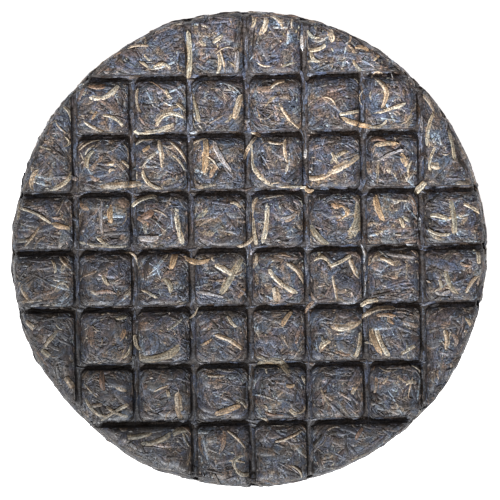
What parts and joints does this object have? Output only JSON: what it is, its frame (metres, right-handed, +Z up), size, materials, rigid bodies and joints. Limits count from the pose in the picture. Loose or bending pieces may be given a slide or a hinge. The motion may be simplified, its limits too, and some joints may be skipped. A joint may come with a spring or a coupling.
{
  "type": "pressed tea cake",
  "caption": "round cake of raw pu-erh tea leaf, pressed flat and scored on top with a square grid of grooves into cells to break off",
  "frame": {"origin": "the middle of the flat underside", "axes": "+Z up through the cake's thickness, out of the scored face; +X to the right and +Y away, the grid turned 0.9 degrees anticlockwise from them"},
  "size_m": [0.2, 0.2, 0.0154],
  "materials": {
    "tea_leaf": "matt, with a faint sheen on the pressed leaves"
  },
  "bodies": {
    "root": {"tea_cake": "tea_leaf"}
  },
  "joints": []
}
